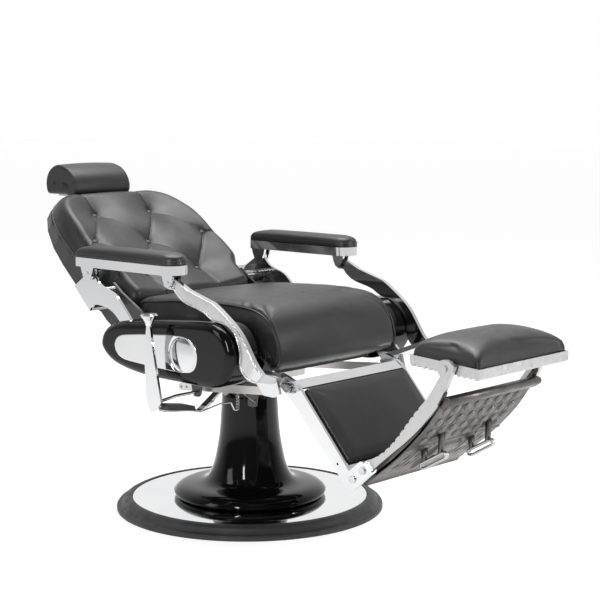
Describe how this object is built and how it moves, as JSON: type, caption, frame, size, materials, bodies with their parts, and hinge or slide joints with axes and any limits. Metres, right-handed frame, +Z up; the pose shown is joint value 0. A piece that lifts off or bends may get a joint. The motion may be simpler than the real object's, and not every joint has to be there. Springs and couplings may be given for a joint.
{
  "type": "hydraulic barber chair",
  "caption": "Reclining swivel chair on a pumped column, with levelling armrests, a coupled back and leg rest, a sliding headrest and a tilting foot pad.",
  "frame": {"origin": "on the floor, on the column's axis", "axes": "+Z is up; -Y is the sitter's forward; +X is the sitter's left"},
  "size_m": [0.7565, 1.564, 0.8781],
  "materials": {
    "cast_plate": "painted",
    "mirror_disc": "polished",
    "black_rubber": "matte",
    "gloss_black": "gloss",
    "plain_steel": "satin",
    "zinc_bolt": "satin",
    "bronze": "machined",
    "black_frame": "satin",
    "plywood": "black painted plywood",
    "black_vinyl": "semi-matte grain",
    "satin_black": "satin",
    "polished_chrome": "polished",
    "satin_steel": "satin",
    "cast_aluminium": "cast and polished"
  },
  "bodies": {
    "base": {"base_weight": "cast_plate", "base_disc": "mirror_disc", "base_rubber_ring": "black_rubber", "column_cover": "gloss_black", "pump_cylinder": "plain_steel", "cylinder_bolts": "zinc_bolt", "cylinder_bush": "bronze"},
    "lift": {"ram": "plain_steel", "piston": "bronze", "piston_seal": "black_rubber", "thrust_bearing": "bronze"},
    "seat": {"pump_head": "cast_plate", "fork_pin": "plain_steel", "mount_plate": "plain_steel", "seat_frame": "black_frame", "pivot_pins": "zinc_bolt", "seat_board": "plywood", "seat_cushion": "black_vinyl", "side_cover_left": "gloss_black", "side_cover_right": "gloss_black", "cover_inset_left": "polished_chrome", "cover_inset_right": "polished_chrome"},
    "back": {"back_cushion": "black_vinyl", "tuft_buttons": "black_vinyl", "back_board": "plywood", "back_shell": "satin_black", "back_hinge_left": "black_frame", "back_hinge_right": "black_frame", "wing_bracket_left": "polished_chrome", "wing_bracket_right": "polished_chrome", "wing_bolts": "zinc_bolt", "headrest_guide": "plain_steel"},
    "headrest_post": {"headrest_post": "plain_steel"},
    "headrest": {"headrest_bracket": "plain_steel", "headrest_cushion": "black_vinyl"},
    "leg_rest": {"side_bar_left": "polished_chrome", "side_bar_right": "polished_chrome", "leg_top_bar": "polished_chrome", "leg_board": "plywood", "leg_pad": "black_vinyl", "leg_bottom_bar": "polished_chrome", "footrest_arm_left": "cast_aluminium", "footrest_arm_right": "cast_aluminium", "foot_plate": "cast_aluminium", "skid_loops": "cast_aluminium", "footrest_bolts": "zinc_bolt"},
    "armrest_right": {"armrest_tray_right": "polished_chrome", "armrest_pad_right": "black_vinyl"},
    "armrest_left": {"armrest_tray_left": "polished_chrome", "armrest_pad_left": "black_vinyl"},
    "tie_bar_right": {"tie_bar_right": "satin_steel"},
    "tie_bar_left": {"tie_bar_left": "satin_steel"},
    "foot_pad": {"foot_pad_frame": "cast_aluminium", "foot_pad_cushion": "black_vinyl"},
    "pump_lever": {"pedal_arm": "polished_chrome", "pedal_pad": "black_rubber", "return_spring": "zinc_bolt"},
    "hand_lever": {"hand_lever": "polished_chrome", "lever_knob": "polished_chrome"}
  },
  "joints": [
    {"name": "lift", "type": "slide", "parent": "base", "child": "lift", "axis": [0, 0, 1], "range_m": [0, 0.15]},
    {"name": "swivel", "type": "hinge", "parent": "lift", "child": "seat", "pos_m": [0, 0, 0.3], "axis": [0, 0, 1], "continuous": true},
    {"name": "leg_rest_tilt", "type": "hinge", "parent": "seat", "child": "leg_rest", "pos_m": [0, -0.215, 0.462], "axis": [1, 0, 0], "range_deg": [0, 36]},
    {"name": "back_recline", "type": "hinge", "parent": "seat", "child": "back", "pos_m": [0, 0.085, 0.462], "axis": [1, 0, 0], "range_deg": [0, 36]},
    {"name": "headrest_tilt", "type": "hinge", "parent": "headrest_post", "child": "headrest", "pos_m": [0, 0.646, 0.783], "axis": [1, 0, 0], "range_deg": [-30, 5]},
    {"name": "headrest_slide", "type": "slide", "parent": "back", "child": "headrest_post", "axis": [0, 0.7297, 0.6838], "range_m": [0, 0.1]},
    {"name": "armrest_right_level", "type": "hinge", "parent": "leg_rest", "child": "armrest_right", "pos_m": [-0.314, -0.044, 0.622], "axis": [1, 0, 0], "range_deg": [-36, 0]},
    {"name": "tie_bar_right_level", "type": "hinge", "parent": "leg_rest", "child": "tie_bar_right", "pos_m": [-0.225, -0.297, 0.374], "axis": [1, 0, 0], "range_deg": [-36, 0]},
    {"name": "armrest_left_level", "type": "hinge", "parent": "leg_rest", "child": "armrest_left", "pos_m": [0.314, -0.044, 0.622], "axis": [1, 0, 0], "range_deg": [-36, 0]},
    {"name": "tie_bar_left_level", "type": "hinge", "parent": "leg_rest", "child": "tie_bar_left", "pos_m": [0.225, -0.297, 0.374], "axis": [1, 0, 0], "range_deg": [-36, 0]},
    {"name": "foot_pad_tilt", "type": "hinge", "parent": "leg_rest", "child": "foot_pad", "pos_m": [0, -0.777, 0.48], "axis": [1, 0, 0], "range_deg": [-55, 40]},
    {"name": "pump_pedal", "type": "hinge", "parent": "seat", "child": "pump_lever", "pos_m": [-0.112, -0.06, 0.338], "axis": [0, -1, 0], "range_deg": [0, 10], "stiffness_Nm_per_rad": 40},
    {"name": "hand_lever_swing", "type": "hinge", "parent": "seat", "child": "hand_lever", "pos_m": [-0.247, -0.06, 0.345], "axis": [1, 0, 0], "range_deg": [-15, 15]}
  ],
  "couplings": [
    {"joint": "back_recline", "follows": "leg_rest_tilt", "ratio": 1},
    {"joint": "armrest_right_level", "follows": "leg_rest_tilt", "ratio": -1},
    {"joint": "tie_bar_right_level", "follows": "leg_rest_tilt", "ratio": -1},
    {"joint": "armrest_left_level", "follows": "leg_rest_tilt", "ratio": -1},
    {"joint": "tie_bar_left_level", "follows": "leg_rest_tilt", "ratio": -1}
  ]
}
